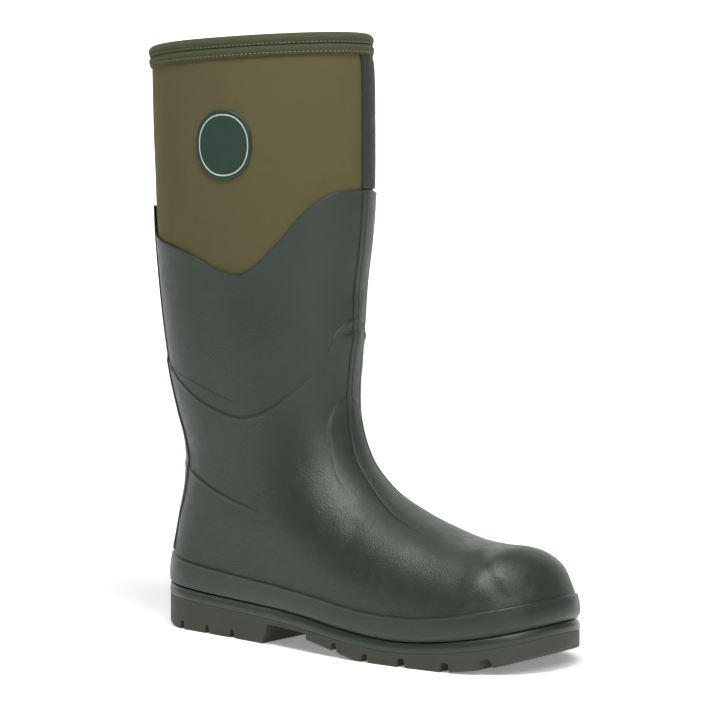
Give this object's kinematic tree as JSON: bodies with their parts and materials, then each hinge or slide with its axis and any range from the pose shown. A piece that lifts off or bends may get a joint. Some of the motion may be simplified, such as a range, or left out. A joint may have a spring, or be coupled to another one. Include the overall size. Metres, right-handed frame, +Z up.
{
  "type": "safety boot",
  "caption": "Tall pull-on safety boot, right foot: moulded rubber galosh over an olive neoprene sleeve, bound collar, lugged outsole, steel toe cap and plate inside.",
  "frame": {"origin": "centre of the footprint box, on the ground plane", "axes": "+X to the toe, +Y to the wearer's inner side, +Z up"},
  "size_m": [0.326, 0.1232, 0.4039],
  "materials": {
    "rubber_green": "moulded matte rubber, grey-green, fine pebble, soft satin",
    "rubber_dark": "dark green moulded rubber",
    "outsole_rubber": "taupe brown hard rubber, matte",
    "neoprene_olive": "olive nylon-faced neoprene",
    "neoprene_black": "black neoprene foam",
    "knit_lining": "grey mesh knit",
    "binding": "green stretch binding tape",
    "thread": "green polyester thread",
    "seam_tape": "grey-green seam tape",
    "patch": "plain dark green rubber patch, no mark",
    "steel": "stamped steel",
    "board": "pressed fibre board",
    "foam": "closed-cell foam",
    "footbed_foam": "black moulded foam"
  },
  "bodies": {
    "foot": {"outsole": "outsole_rubber", "sole_lip": "rubber_dark", "foxing_rand": "rubber_green", "foot_rubber_shell": "rubber_green", "heel_kick_spur": "rubber_green", "instep_rib": "rubber_green", "back_stay_heel": "rubber_green", "foot_neoprene": "neoprene_black", "foot_lining": "knit_lining", "steel_toe_cap": "steel", "toe_cap_edge_bead": "footbed_foam", "heel_counter": "board", "foam_midsole": "foam", "steel_midsole_plate": "steel", "insole_board": "board"},
    "shaft": {"shaft_rubber_shell": "rubber_green", "shaft_neoprene": "neoprene_olive", "shaft_lining": "knit_lining", "front_seam_tape": "seam_tape", "shin_rib": "rubber_green", "back_stay_shaft": "rubber_green", "collar_roll": "binding", "collar_band": "binding", "stitch_row_upper": "thread", "stitch_row_lower": "thread", "badge_patch": "patch"},
    "footbed": {"footbed_foam": "footbed_foam", "footbed_cover": "knit_lining"}
  },
  "joints": [
    {"name": "ankle_flex", "type": "hinge", "parent": "foot", "child": "shaft", "pos_m": [-0.07775, 0.00127, 0.118], "axis": [0, 1, 0], "range_deg": [-12, 18], "stiffness_Nm_per_rad": 18},
    {"name": "footbed_lift", "type": "hinge", "parent": "foot", "child": "footbed", "pos_m": [0.15225, 0.00127, 0.032], "axis": [0, 1, 0], "range_deg": [0, 2.5]}
  ]
}
